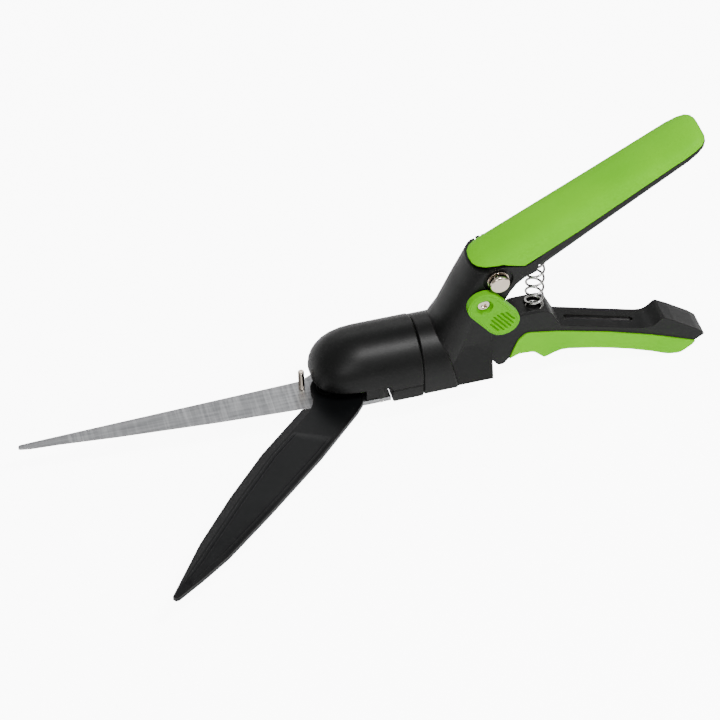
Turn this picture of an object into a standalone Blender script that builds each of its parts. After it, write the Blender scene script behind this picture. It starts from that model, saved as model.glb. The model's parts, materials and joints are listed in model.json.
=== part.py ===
"""Grass shears with a head that swivels on the handle, as separate solids.

Lengths in this script are millimetres in the axis frame: the head turns about the X axis,
the seam between head and handle is the plane X = 0, the blades point to -X, +Z is up and
-Y is the side with the lock lever. The empty "shears" puts that frame in the world, where
the origin lies on the flat sole under the head.
"""

import math

import bmesh
import bpy
from mathutils import Matrix, Vector

MM = 0.001
GAP = 0.3  # free space between pieces that touch

# Where the sole's centre lies in the axis frame.
SOLE_X = -8.0
SOLE_Z = -12.0

# Joint axes.
TRIGGER_AXIS = (38.3, 0.0, 50.1)
LOCK_AXIS = (30.6, 0.0, 38.0)
BLADE_PIVOT = (-45.0, -5.0, -8.0)

# Motion: the trigger's toe pulls the rod, the rod's pin turns the upper blade.
TRIGGER_SWING = math.radians(14.0)
TOE_ARM = 50.1
ROD_STROKE = TOE_ARM * TRIGGER_SWING
BLADE_SWING = math.radians(48.3)
CAM_START = 10.0  # drive pin's distance from the blade pivot when open

# Handle body.
CHEEK_OUT = 13.0
CHEEK_IN = 8.2
NECK_HALF_WIDTH = 13.05
COLLAR_HALF_WIDTH = 19.0
COLLAR_HEIGHT = 19.9
COLLAR_REAR = 11.0
COLLAR_SLANT = 0.24
SEAM = 0.15  # half the slit between head and handle
BULKHEAD_REAR = 7.5

# Upper handle: its top and bottom edges spread about one line that rises at 32 degrees.
HANDLE_RISE = math.radians(32.0)
HANDLE_START = (28.0, 59.4)
HANDLE_LENGTH = 122.6
HANDLE_HALF_WIDTH = 13.0

# Swivel and pull rod.
SPIGOT_R = 7.5
FLANGE_R = 9.8
ROD_R = 2.2
BUTTON_R = 3.6
BUTTON_X = 24.0
BUTTON_LENGTH = 2.3

# Head.
HEAD_HALF_WIDTH = 19.3
HEAD_HEIGHT = 20.4
DOME_START = -27.6
NOSE_X = -52.6
HEAD_WALL = 2.4
SKIRT_Z = -3.6
COVER_FRONT = -15.6
TANG_SCREW = (-21.0, 14.7)
COVER_SCREW = (-8.0, 13.1)
BOSS_R = 2.9

# Blades.
BLADE_THICK = 2.5
LOWER_TOP = -9.5
UPPER_TOP = -6.7
UPPER_BOTTOM = UPPER_TOP - BLADE_THICK
BOLT_R = 3.0
PIN_R = 1.6

# Trigger (lower handle) and its parts.
TRIGGER_HALF_WIDTH = 7.0
GRIP_HALF_WIDTH = 7.6
FORK_HALF_WIDTH = 5.0
YOKE_HALF_WIDTH = 4.5
RIVET_R = 3.0
TOE_PIN_R = 1.5
LEVER_R = 8.4
SPRING_X = 61.3
SPRING_LOW = 14.2
SPRING_HIGH = 55.4
SPRING_R = 4.3
SPRING_WIRE = 0.6
SPRING_TURNS = 8


# ---------------------------------------------------------------- scene and materials

def clear_scene():
    for item in list(bpy.data.objects):
        bpy.data.objects.remove(item, do_unlink=True)


def new_collection(name):
    made = bpy.data.collections.new(name)
    bpy.context.scene.collection.children.link(made)
    return made


def new_look(name, colour, roughness, metallic=0.0):
    look = bpy.data.materials.new(name)
    look.use_nodes = True
    shader = look.node_tree.nodes["Principled BSDF"]
    shader.inputs["Base Color"].default_value = (*colour, 1.0)
    shader.inputs["Roughness"].default_value = roughness
    shader.inputs["Metallic"].default_value = metallic
    return look


clear_scene()
PARTS = new_collection("grass_shears")
CUTTERS = new_collection("cutters")

BLACK = (0.02, 0.02, 0.02)
GREEN = (0.32, 0.62, 0.05)
STEEL = (0.62, 0.62, 0.6)
NICKEL = (0.7, 0.67, 0.62)


def new_empty(name, place, parent=None):
    empty = bpy.data.objects.new(name, None)
    PARTS.objects.link(empty)
    empty.parent = parent
    empty.location = Vector(place) * MM
    return empty


ROOT = new_empty("shears", (-SOLE_X, 0.0, -SOLE_Z))
AXES = {
    "handle": (0.0, 0.0, 0.0),
    "head": (0.0, 0.0, 0.0),
    "trigger": TRIGGER_AXIS,
    "lock": LOCK_AXIS,
    "blade": BLADE_PIVOT,
    "yoke": (0.0, 0.0, 0.0),
    "drive": (0.0, 0.0, 0.0),
}
EMPTIES = {name: new_empty(name + "_axis", place, ROOT) for name, place in AXES.items()}


def add_piece(name, mesh, body, colour, roughness, metallic=0.0):
    """A visible piece whose origin is on its body's axis."""
    mesh.transform(Matrix.Translation(-Vector(AXES[body])))
    mesh.transform(Matrix.Scale(MM, 4))
    item = bpy.data.objects.new(name, mesh)
    PARTS.objects.link(item)
    item.parent = EMPTIES[body]
    item.data.materials.append(new_look(name, colour, roughness, metallic))
    item.data.shade_smooth()
    item.data.set_sharp_from_angle(angle=math.radians(35.0))
    return item


def add_tool(name, mesh):
    """A hidden body for a Boolean."""
    mesh.transform(Matrix.Scale(MM, 4))
    item = bpy.data.objects.new(name, mesh)
    CUTTERS.objects.link(item)
    item.parent = ROOT
    item.hide_render = True
    item.display_type = "WIRE"
    return item


def boolean(item, tool, operation="DIFFERENCE"):
    step = item.modifiers.new(operation.lower() + "_" + tool.name, "BOOLEAN")
    step.operation = operation
    step.solver = "EXACT"
    step.object = tool
    return step


def cut(item, name, mesh):
    boolean(item, add_tool(name, mesh))


def join(item, name, mesh):
    boolean(item, add_tool(name, mesh), "UNION")


def bevel(item, width, segments=2, angle=40.0):
    step = item.modifiers.new("round_edges", "BEVEL")
    step.width = width * MM
    step.segments = segments
    step.limit_method = "ANGLE"
    step.angle_limit = math.radians(angle)
    return step


# ---------------------------------------------------------------- mesh makers

def finished(shape, name):
    mesh = bpy.data.meshes.new(name)
    bmesh.ops.recalc_face_normals(shape, faces=shape.faces)
    shape.to_mesh(mesh)
    shape.free()
    return mesh


def box(low, high):
    shape = bmesh.new()
    bmesh.ops.create_cube(shape, size=1.0)
    size = Vector(high) - Vector(low)
    bmesh.ops.scale(shape, vec=size, verts=shape.verts)
    bmesh.ops.translate(shape, vec=(Vector(low) + Vector(high)) / 2, verts=shape.verts)
    return finished(shape, "box")


def shaft(start, end, radius, sides=24):
    """A cylinder between two points."""
    start = Vector(start)
    run = Vector(end) - start
    shape = bmesh.new()
    turn = run.to_track_quat("Z", "Y").to_matrix().to_4x4()
    matrix = Matrix.Translation(start + run / 2) @ turn
    bmesh.ops.create_cone(
        shape, cap_ends=True, segments=sides, radius1=radius, radius2=radius,
        depth=run.length, matrix=matrix)
    return finished(shape, "shaft")


def ball(centre, radius):
    shape = bmesh.new()
    bmesh.ops.create_uvsphere(
        shape, u_segments=12, v_segments=8, radius=radius,
        matrix=Matrix.Translation(Vector(centre)))
    return finished(shape, "ball")


def evaluated_mesh(item):
    graph = bpy.context.evaluated_depsgraph_get()
    return bpy.data.meshes.new_from_object(item.evaluated_get(graph))


def turned(profile, start, direction, sides=20):
    """A solid of revolution; the profile is (radius, distance) from its far end back."""
    mesh = bpy.data.meshes.new("profile")
    points = [(radius, 0.0, along) for radius, along in profile]
    closed = profile[0][0] > 0.0
    edges = [(i, i + 1) for i in range(len(points) - 1)]
    if closed:
        edges.append((len(points) - 1, 0))
    mesh.from_pydata(points, edges, [])
    item = bpy.data.objects.new("profile", mesh)
    CUTTERS.objects.link(item)
    screw = item.modifiers.new("screw", "SCREW")
    screw.steps = sides
    screw.render_steps = sides
    screw.use_merge_vertices = True
    screw.merge_threshold = 0.0001
    result = evaluated_mesh(item)
    bpy.data.objects.remove(item, do_unlink=True)
    turn = Vector(direction).to_track_quat("Z", "Y").to_matrix().to_4x4()
    result.transform(Matrix.Translation(Vector(start)) @ turn)
    shape = bmesh.new()
    shape.from_mesh(result)
    return finished(shape, "turned")


def rounded(corners, degrees=18.0):
    """Outline points from (x, y) corners, with an arc where a corner has a third value."""
    points = []
    count = len(corners)
    for index, corner in enumerate(corners):
        here = Vector(corner[:2])
        radius = corner[2] if len(corner) > 2 else 0.0
        if radius == 0.0:
            points.append(tuple(here))
            continue
        before = (Vector(corners[index - 1][:2]) - here).normalized()
        after = (Vector(corners[(index + 1) % count][:2]) - here).normalized()
        half = before.angle(after) / 2
        centre = here + (before + after).normalized() * (radius / math.sin(half))
        reach = radius / math.tan(half)
        first = here + before * reach - centre
        last = here + after * reach - centre
        sweep = first.angle_signed(last)
        steps = max(1, round(abs(math.degrees(sweep)) / degrees))
        for step in range(steps + 1):
            turn = Matrix.Rotation(-sweep * step / steps, 2)
            points.append(tuple(centre + turn @ first))
    return points


def plate(outline, low, high):
    """A flat outline in X and Y, filled and extruded between two heights."""
    curve = bpy.data.curves.new("outline", "CURVE")
    curve.dimensions = "2D"
    curve.fill_mode = "BOTH"
    curve.extrude = (high - low) / 2
    spline = curve.splines.new("POLY")
    spline.points.add(len(outline) - 1)
    for point, (x, y) in zip(spline.points, outline):
        point.co = (x, y, 0.0, 1.0)
    spline.use_cyclic_u = True
    item = bpy.data.objects.new("outline", curve)
    CUTTERS.objects.link(item)
    mesh = evaluated_mesh(item)
    bpy.data.objects.remove(item, do_unlink=True)
    mesh.transform(Matrix.Translation((0.0, 0.0, (high + low) / 2)))
    shape = bmesh.new()
    shape.from_mesh(mesh)
    bmesh.ops.remove_doubles(shape, verts=shape.verts, dist=0.0001)
    return finished(shape, "plate")


def side_plate(outline, low, high):
    """A flat outline in X and Z, extruded between two values of Y."""
    mesh = plate(outline, -high, -low)
    mesh.transform(Matrix.Rotation(math.radians(90.0), 4, "X"))
    return mesh


def loft(rings):
    """A solid through closed rings that have the same number of points."""
    shape = bmesh.new()
    rows = [[shape.verts.new(point) for point in ring] for ring in rings]
    count = len(rows[0])
    for row, following in zip(rows, rows[1:]):
        for i in range(count):
            j = (i + 1) % count
            shape.faces.new((row[i], row[j], following[j], following[i]))
    shape.faces.new(rows[0])
    shape.faces.new(rows[-1])
    return finished(shape, "loft")


# ---------------------------------------------------------------- section formulas

def power(value, exponent):
    return math.copysign(abs(value) ** exponent, value)


def oval(half_width, up, down, crown=2.6, base=4.5, count=24):
    """Ring of (sideways, height) points, rounder above the middle than below it."""
    ring = []
    for i in range(count):
        angle = 2 * math.pi * i / count
        shape = 2 / (crown if math.sin(angle) >= 0 else base)
        height = up if math.sin(angle) >= 0 else down
        across = half_width * power(math.cos(angle), shape)
        ring.append((across, height * power(math.sin(angle), shape)))
    return ring


def arch(half_width, height, bottom, count=18, corner=2.0):
    """Ring of (Y, Z) points: a round arch on straight sides and a flat bottom."""
    ring = []
    for i in range(count + 1):
        angle = math.pi * i / count
        ring.append((half_width * math.cos(angle), height * math.sin(angle)))
    ring.append((-half_width, bottom + corner))
    ring.append((-half_width + corner * 0.3, bottom + corner * 0.3))
    ring.append((-half_width + corner, bottom))
    ring.append((half_width - corner, bottom))
    ring.append((half_width - corner * 0.3, bottom + corner * 0.3))
    ring.append((half_width, bottom + corner))
    return ring


def handle_edges(along):
    """Height of the upper handle's top and bottom above its own line."""
    top = -0.7 - 0.076 * along - 0.012 * max(0.0, 8.0 - along) ** 2
    bottom = -24.0 + 0.0524 * (along - 25.7)
    return top, bottom


def handle_point(along, height):
    rise = HANDLE_RISE
    x = HANDLE_START[0] + along * math.cos(rise) - height * math.sin(rise)
    z = HANDLE_START[1] + along * math.sin(rise) + height * math.cos(rise)
    return x, z


def handle_ring(along, inset_side, inset_top, inset_bottom, size=1.0):
    top, bottom = handle_edges(along)
    top -= inset_top
    bottom += inset_bottom
    middle = (top + bottom) / 2
    half = (top - bottom) / 2 * size
    ring = []
    for across, height in oval((HANDLE_HALF_WIDTH - inset_side) * size, half, half):
        x, z = handle_point(along, middle + height)
        ring.append((x, across, z))
    return ring


# ---------------------------------------------------------------- handle body

# Lower edge of the green grip, which is the black body's upper edge, in X and Z.
GRIP_LINE = [(25.5, 56.0), (41.0, 58.6), (51.5, 56.2), (78.7, 72.2), (124.0, 101.6)]


def grip_outline(lift):
    """Region below the green grip in side view, with its upper edge raised by lift."""
    rim = [(x, z + lift) for x, z in GRIP_LINE]
    beyond = [(134.5 - lift / 2, 107.7 + lift), (150.0, 116.0 + lift), (190.0, 60.0)]
    return rim + beyond + [(40.0, -20.0), (-10.0, 20.0), (10.0, GRIP_LINE[0][1] + lift)]


def body_profile():
    """Side view of the cheeks and of what joins them to the handle."""
    return rounded([
        (14.0, -11.9), (36.1, -11.9, 1.0), (35.6, 17.2, 6.0), (42.1, 36.5), (44.6, 41.4),
        (47.6, 45.6), (51.6, 48.9, 3.0), (57.4, 51.4), (60.0, 60.6), (51.5, 55.9),
        (41.0, 58.2, 6.0), (34.6, 57.0), (25.8, 33.0), (15.6, 7.5)])


def neck_rings():
    """The rounded front of the neck, from inside the collar up to the grip's front edge."""
    stations = [
        ((1.5, 10.0), (16.0, -9.0), 17.0),
        ((6.8, 16.5), (21.4, 0.0), 15.2),
        ((12.4, 26.0), (27.5, 16.0), 13.6),
        ((20.4, 43.2), (34.5, 38.0), NECK_HALF_WIDTH),
        ((26.5, 54.9), (42.0, 57.5), NECK_HALF_WIDTH),
    ]
    rings = []
    for front, rear, half_width in stations:
        front = Vector(front)
        rear = Vector(rear)
        middle = (front + rear) / 2
        half = (front - rear) / 2
        ring = []
        for across, height in oval(half_width, 1.0, 1.0, 2.3, 3.0):
            point = middle + half * height
            ring.append((point.x, across, point.y))
        rings.append(ring)
    return rings


def collar_rings():
    """The collar: upright at the seam, slanted and rounded at the rear."""
    def slanted(half_width, height, bottom, shift):
        ring = []
        for y, z in arch(half_width, height, bottom, corner=2.6):
            x = COLLAR_REAR + shift + (COLLAR_HEIGHT - z) * COLLAR_SLANT
            ring.append((x, y, z))
        return ring
    chamfer = arch(COLLAR_HALF_WIDTH - 0.5, COLLAR_HEIGHT - 0.5, SOLE_Z + 0.4, corner=2.6)
    full = arch(COLLAR_HALF_WIDTH, COLLAR_HEIGHT, SOLE_Z, corner=2.6)
    return [
        [(SEAM, y, z) for y, z in chamfer],
        [(SEAM + 0.6, y, z) for y, z in full],
        slanted(COLLAR_HALF_WIDTH, COLLAR_HEIGHT, SOLE_Z, -1.6),
        slanted(COLLAR_HALF_WIDTH - 0.6, COLLAR_HEIGHT - 0.6, SOLE_Z + 0.3, -0.5),
        slanted(COLLAR_HALF_WIDTH - 2.0, COLLAR_HEIGHT - 2.0, SOLE_Z + 1.0, 0.0),
    ]


def core_rings(inset):
    """The black core inside the grip."""
    stations = [8.0 + inset, 30.0, 60.0, 90.0, 110.0 - inset]
    return [handle_ring(s, 4.2 + inset, 4.2 + inset, 2.0 + inset) for s in stations]


def flare_rings():
    """The cheeks widen towards their lower edge until they are nearly as wide as the collar."""
    rings = []
    for z, half_width in ((-11.8, 16.7), (-11.2, 17.3), (-4.0, 16.0), (4.0, 14.3), (11.0, 12.9)):
        rings.append([(9.0, -half_width, z), (35.9, -half_width, z),
                      (35.9, half_width, z), (9.0, half_width, z)])
    return rings


def trigger_slot():
    """The space between the cheeks, open behind and below."""
    return rounded([
        (11.0, -9.9), (21.0, -9.9), (21.0, -16.0), (70.0, -16.0), (70.0, 38.0),
        (50.0, 51.0), (46.7, 58.0, 8.0), (29.9, 58.0, 8.0), (29.9, 46.0), (23.0, 12.0, 3.0),
        (19.0, 9.9), (11.0, 9.9)])


def make_handle_body():
    body = add_piece("handle_body", side_plate(body_profile(), -CHEEK_OUT, CHEEK_OUT),
                     "handle", BLACK, 0.5)
    bevel(body, 1.6, 2)
    join(body, "neck", loft(neck_rings()))
    join(body, "collar", loft(collar_rings()))
    join(body, "cheek_flare", loft(flare_rings()))
    strip = add_tool("strip", loft(handle_rings(24.0)))
    strip_side = add_tool("strip_side", side_plate(grip_outline(0.0), -30.0, 30.0))
    boolean(strip, strip_side, "INTERSECT")
    boolean(body, strip, "UNION")
    join(body, "core", loft(core_rings(0.0)))
    cut(body, "trigger_slot", side_plate(trigger_slot(), -CHEEK_IN, CHEEK_IN))
    cut(body, "spigot_bore", shaft((-2, 0, 0), (9, 0, 0), SPIGOT_R + GAP, 32))
    cut(body, "clip_room", shaft((BULKHEAD_REAR, 0, 0), (14.0, 0, 0), 9.8, 32))
    x, _, z = TRIGGER_AXIS
    cut(body, "rivet_bore", shaft((x, -20, z), (x, 20, z), RIVET_R + GAP))
    for side in (-1, 1):
        name = "rivet_recess" + ("_near" if side < 0 else "_far")
        cut(body, name, shaft((x, side * 11.8, z), (x, side * 20, z), 7.5, 32))
    x, _, z = LOCK_AXIS
    cut(body, "lock_bore", shaft((x, -20, z), (x, -5, z), 2.1, 16))
    cut(body, "spring_pocket", shaft((SPRING_X, 0, 40), (SPRING_X, 0, 56), 5.8))
    cut(body, "detent_pocket", shaft((-1, 0, 13.4), (6.9, 0, 13.4), 1.85, 16))
    return body


def handle_rings(front):
    """The outside of the upper handle from one place back to its rounded end."""
    end = HANDLE_LENGTH
    plan = [(front, 1.0), (front + 3.0, 1.0), (front + 6.0, 1.0), (front + 10.0, 1.0),
            (70.0, 1.0), (end - 13.0, 1.0), (end - 7.0, 0.95), (end - 3.2, 0.85),
            (end - 1.0, 0.68), (end, 0.46)]
    return [handle_ring(s, 0.0, 0.0, 0.0, size) for s, size in plan]


def make_upper_grip():
    grip = add_piece("upper_grip", loft(handle_rings(-3.5)), "handle", GREEN, 0.55)
    cut(grip, "below_grip", side_plate(grip_outline(0.4), -30.0, 30.0))
    cut(grip, "core_room", loft(core_rings(-0.35)))
    return grip


# ---------------------------------------------------------------- pivot and lock

def make_pivot():
    x, _, z = TRIGGER_AXIS
    head = [(0.0, 16.9), (3.6, 16.9), (4.6, 16.4), (5.0, 15.4), (5.0, 13.4),
            (RIVET_R, 13.4), (RIVET_R, -13.4), (4.3, -13.4), (4.3, -14.4), (3.2, -15.2),
            (0.0, -15.2)]
    add_piece("pivot_rivet", turned(head, (x, 0, z), (0, -1, 0)), "handle", NICKEL, 0.25, 1.0)
    for name, side in (("pivot_washer_near", -1), ("pivot_washer_far", 1)):
        ring = [(5.4, 13.1), (5.4, 12.1), (RIVET_R + GAP, 12.1), (RIVET_R + GAP, 13.1)]
        mesh = turned(ring, (x, 0, z), (0, side, 0))
        add_piece(name, mesh, "handle", NICKEL, 0.3, 1.0)


def make_lock():
    x, _, z = LOCK_AXIS
    far = (40.2, 25.7)
    lean = math.atan2(far[1] - z, far[0] - x)
    outline = []
    for (cx, cz), start in (((x, z), 90.0), (far, -90.0)):
        for step in range(13):
            angle = lean + math.radians(start + step * 15.0)
            outline.append((cx + LEVER_R * math.cos(angle), cz + LEVER_R * math.sin(angle)))
    lever = add_piece("lock_lever", side_plate(outline, -16.9, -13.4), "lock", GREEN, 0.5)
    bevel(lever, 0.9, 2)
    cut(lever, "lock_head_recess", shaft((x, -20, z), (x, -15.2, z), 4.3))
    cut(lever, "lock_lever_bore", shaft((x, -20, z), (x, -10, z), 2.1, 16))
    screw = [(0.0, 16.6), (3.0, 16.6), (3.75, 16.0), (3.75, 15.5), (1.8, 15.5),
             (1.8, 8.5), (0.0, 8.5)]
    item = add_piece("lock_screw", turned(screw, (x, 0, z), (0, -1, 0), 24), "handle",
                     NICKEL, 0.25, 1.0)
    cut(item, "screw_drive", shaft((x, -18, z), (x, -15.9, z), 1.5, 6))


# ---------------------------------------------------------------- swivel and pull rod

def make_swivel():
    spigot = [(SPIGOT_R, 12.4), (SPIGOT_R, -3.9), (FLANGE_R, -3.9), (FLANGE_R, -6.9),
              (3.0, -6.9), (3.0, 12.4)]
    item = add_piece("swivel_spigot", turned(spigot, (0, 0, 0), (1, 0, 0), 24), "head",
                     STEEL, 0.35, 1.0)
    groove = [(9.0, 9.6), (9.0, 8.1), (6.6, 8.1), (6.6, 9.6)]
    cut(item, "clip_groove", turned(groove, (0, 0, 0), (1, 0, 0), 24))
    ring = [(9.2, 9.35), (9.2, 8.35), (6.9, 8.35), (6.9, 9.35)]
    clip = add_piece("spigot_clip", turned(ring, (0, 0, 0), (1, 0, 0), 24), "head",
                     STEEL, 0.3, 1.0)
    cut(clip, "clip_gap", box((7.0, -1.2, -12.0), (11.0, 1.2, 0.0)))


def make_detent():
    add_piece("detent_ball", ball((1.9, 0, 13.4), 1.5), "handle", STEEL, 0.2, 1.0)
    points = coil((3.9, 0, 13.4), (6.5, 0, 13.4), 1.15, 4, 8)
    add_piece("detent_spring", wire(points, 0.2), "handle", STEEL, 0.3, 1.0)


def make_yoke():
    low = (18.6, -YOKE_HALF_WIDTH, -5.0)
    high = (36.6, YOKE_HALF_WIDTH, 5.0)
    yoke = add_piece("rod_yoke", box(low, high), "yoke", STEEL, 0.45, 1.0)
    bevel(yoke, 0.6, 1)
    room = BUTTON_R + 0.4
    front = BUTTON_X - 0.4
    rear = BUTTON_X + BUTTON_LENGTH + 0.4
    cut(yoke, "button_slot", box((front, -room, -room), (rear, room, 9.0)))
    neck = ROD_R + 0.4
    cut(yoke, "neck_slot", box((10.0, -neck, -neck), (front + 0.5, neck, 9.0)))
    x, z = toe_pin_place()
    play = TOE_PIN_R + 0.3
    cut(yoke, "pin_slot", box((x - play, -9.0, z - 0.5 - 2.4), (x + play, 9.0, z + 2.3)))


def make_pull_rod():
    rear = BUTTON_X + BUTTON_LENGTH
    profile = [(0.0, rear), (BUTTON_R, rear), (BUTTON_R, BUTTON_X), (ROD_R, BUTTON_X),
               (ROD_R, -26.3), (3.3, -26.3), (3.3, -28.3), (0.0, -28.3)]
    add_piece("pull_rod", turned(profile, (0, 0, 0), (1, 0, 0), 20), "drive", STEEL, 0.3, 1.0)


def make_slider():
    slider = add_piece("drive_slider", box((-38.8, -9.0, -6.3), (-20.0, 9.0, -3.9)),
                       "drive", STEEL, 0.4, 1.0)
    join(slider, "slider_post", box((-26.0, -4.6, -5.0), (-20.0, 4.6, 4.6)))
    cut(slider, "post_bore", shaft((-30, 0, 0), (-10, 0, 0), ROD_R + GAP))
    x, y, _ = BLADE_PIVOT
    x += CAM_START
    cut(slider, "pin_bore", shaft((x, y, -8), (x, y, 0), PIN_R + GAP, 16))
    profile = [
        (0.0, -2.3), (2.8, -2.3), (2.8, -3.6), (PIN_R, -3.6), (PIN_R, -9.1), (0.0, -9.1)]
    pin = turned(profile, (x, y, 0), (0, 0, 1), 16)
    add_piece("drive_pin", pin, "drive", STEEL, 0.25, 1.0)


# ---------------------------------------------------------------- head

def dome_scale(x, exponent):
    """How far the head has closed in towards the nose at this X."""
    reach = (DOME_START - x) / (DOME_START - NOSE_X)
    if reach <= 0.0:
        return 1.0
    return max(0.0, 1.0 - reach ** exponent) ** (1.0 / exponent)


def dome_rings(inset, rear, bottom):
    ring_list = []
    stations = [rear, -14.0, DOME_START]
    for share in (0.24, 0.46, 0.63, 0.76, 0.86, 0.93, 0.975, 0.995):
        stations.append(DOME_START + share * (NOSE_X - DOME_START))
    for x in stations:
        wide = HEAD_HALF_WIDTH * dome_scale(x, 2.6)
        tall = HEAD_HEIGHT * dome_scale(x, 2.05)
        centre = (x - DOME_START) * (1 - inset / (DOME_START - NOSE_X)) + DOME_START
        if x >= DOME_START:
            centre = x
        width = wide - inset * min(1.0, wide / HEAD_HALF_WIDTH)
        height = tall - inset * min(1.0, tall / HEAD_HEIGHT)
        ring = [(centre, y, z) for y, z in arch(width, height, bottom, corner=0.4)]
        ring_list.append(ring)
    return ring_list


def make_housing():
    rim = HEAD_HALF_WIDTH - 0.5, HEAD_HEIGHT - 0.5
    rear = [(-SEAM, y, z) for y, z in arch(*rim, SKIRT_Z, corner=0.4)]
    rings = [rear] + dome_rings(0.0, -SEAM - 0.6, SKIRT_Z)
    head = add_piece("head_housing", loft(rings), "head", BLACK, 0.45)
    cut(head, "head_hollow", loft(dome_rings(HEAD_WALL, -3.6, -9.0)))
    skirt = rounded([
        (-70.0, 0.0), (-17.4, 0.0, 1.2), (-16.0, -3.0, 1.2), (-16.0, -12.0), (-70.0, -12.0)])
    cut(head, "skirt_cut", side_plate(skirt, -30.0, 30.0))
    join(head, "near_guard", box((-28.4, -16.8, LOWER_TOP + 0.7), (-17.6, -14.6, 4.2)))
    cut(head, "spigot_hole", shaft((-8, 0, 0), (2, 0, 0), SPIGOT_R + GAP, 32))
    add_bosses(head, "tang", TANG_SCREW, LOWER_TOP + GAP)
    add_bosses(head, "cover", COVER_SCREW, -9.3)
    return head


def add_bosses(head, name, place, low):
    """A pair of posts that hang from the roof and take screws from below."""
    x, y = place
    roof = HEAD_HEIGHT * math.sqrt(1 - ((y + BOSS_R) / HEAD_HALF_WIDTH) ** 2) - 0.4
    for side in (-1, 1):
        label = name + ("_near" if side < 0 else "_far")
        foot = Vector((x, side * y, low))
        join(head, label + "_boss", shaft(foot, (x, side * y, roof), BOSS_R, 16))
        pilot = shaft(foot - Vector((0, 0, 1)), foot + Vector((0, 0, 8)), 1.6, 12)
        cut(head, label + "_pilot", pilot)


def make_cover():
    ring = arch(HEAD_HALF_WIDTH, 1.0, SOLE_Z, count=1, corner=1.8)
    profile = [(y, min(z, SKIRT_Z - GAP)) for y, z in ring]
    front = [(COVER_FRONT, y, z) for y, z in profile]
    rear = [(-SEAM, y, z) for y, z in profile]
    cover = add_piece("head_cover", loft([front, rear]), "head", BLACK, 0.45)
    bevel(cover, 0.5, 1, 60.0)
    wall = 2.2
    low = (COVER_FRONT + wall, -HEAD_HALF_WIDTH + wall, SOLE_Z + 2.4)
    high = (-SEAM - wall, HEAD_HALF_WIDTH - wall, 0.0)
    cut(cover, "cover_hollow", box(low, high))
    cut(cover, "slider_room", box((-17.0, -9.7, -7.0), (-12.0, 9.7, 0.0)))
    cut(cover, "spigot_flange_room", shaft((-12, 0, 0), (2, 0, 0), FLANGE_R + 0.4, 32))
    x, y = COVER_SCREW
    for side in (-1, 1):
        name = "cover_screw" + ("_near" if side < 0 else "_far")
        cut(cover, name + "_hole", shaft((x, side * y, -14), (x, side * y, -8), 1.7, 12))
        cut(cover, name + "_sink", shaft((x, side * y, -14), (x, side * y, -10.6), 3.0, 20))


def screw_mesh(place, top, length, head_r=2.6, core_r=1.25, head=1.1):
    profile = [(0.0, length), (core_r, length), (core_r, head), (head_r, head), (head_r, 0.0),
               (0.0, 0.0)]
    return turned(profile, (*place, top), (0, 0, 1), 16)


def make_screws():
    for name, place, low in (("tang_screw", TANG_SCREW, SOLE_Z),
                             ("cover_screw", COVER_SCREW, SOLE_Z + 0.1)):
        x, y = place
        for end, side in (("_near", -1), ("_far", 1)):
            mesh = screw_mesh((x, side * y), low, 9.0)
            add_piece(name + end, mesh, "head", STEEL, 0.3, 1.0)


# ---------------------------------------------------------------- blades

def ground_blade(outline, ground, edge_z, flat_z, back_z):
    """A blade from its outline; the ground points are drawn in on the back_z side."""
    inner = list(outline)
    for index, (x, y) in ground.items():
        inner[index] = (x, y)
    rings = [[(x, y, flat_z) for x, y in outline], [(x, y, edge_z) for x, y in outline],
             [(x, y, back_z) for x, y in inner]]
    return loft(rings)


def inset_points(outline, chosen, depth, towards):
    """Outline points moved sideways by the width of the ground face."""
    moved = {}
    for index in chosen:
        x, y = outline[index]
        moved[index] = (x + towards[0] * depth[index], y + towards[1] * depth[index])
    return moved


def make_lower_blade():
    """Fixed blade: a long taper on a wide tang that is the head's base plate."""
    outline = [
        (-56.5, 5.4), (-100.0, 4.1), (-150.0, 2.5), (-190.0, 1.2), (-195.9, 0.9),
        (-196.7, 0.1), (-196.0, -1.0), (-191.4, -2.5), (-150.0, -6.8), (-100.0, -10.8),
        (-52.5, -13.6), (-47.0, -14.6), (-38.0, -16.2), (-33.0, -17.0), (-16.2, -17.0),
        (-16.2, 17.0), (-33.0, 17.0), (-41.0, 14.8), (-50.0, 8.6)]
    depth = {5: 0.3, 6: 0.9, 7: 1.5, 8: 3.0, 9: 4.0, 10: 4.4}
    ground = inset_points(outline, depth.keys(), depth, (0.05, 1.0))
    mesh = ground_blade(outline, ground, LOWER_TOP - 0.4, LOWER_TOP, LOWER_TOP - BLADE_THICK)
    blade = add_piece("lower_blade", mesh, "head", STEEL, 0.35, 1.0)
    x, y, _ = BLADE_PIVOT
    cut(blade, "lower_pivot_hole", shaft((x, y, -14), (x, y, -8), BOLT_R + GAP))
    cut(blade, "lower_pivot_sink", shaft((x, y, -14), (x, y, -10.7), 5.4, 28))
    cut(blade, "stop_pin_hole", shaft((-56.7, 0.5, -14), (-56.7, 0.5, -8), 1.4, 16))
    x, y = TANG_SCREW
    for side in (-1, 1):
        name = "tang" + ("_near" if side < 0 else "_far")
        cut(blade, name + "_hole", shaft((x, side * y, -14), (x, side * y, -8), 1.7, 12))
        cut(blade, name + "_sink", shaft((x, side * y, -14), (x, side * y, -10.6), 2.65, 20))


def cam_radius(angle):
    """Archimedean spiral: the blade turns in step with the rod."""
    return CAM_START + ROD_STROKE * angle / BLADE_SWING


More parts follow.
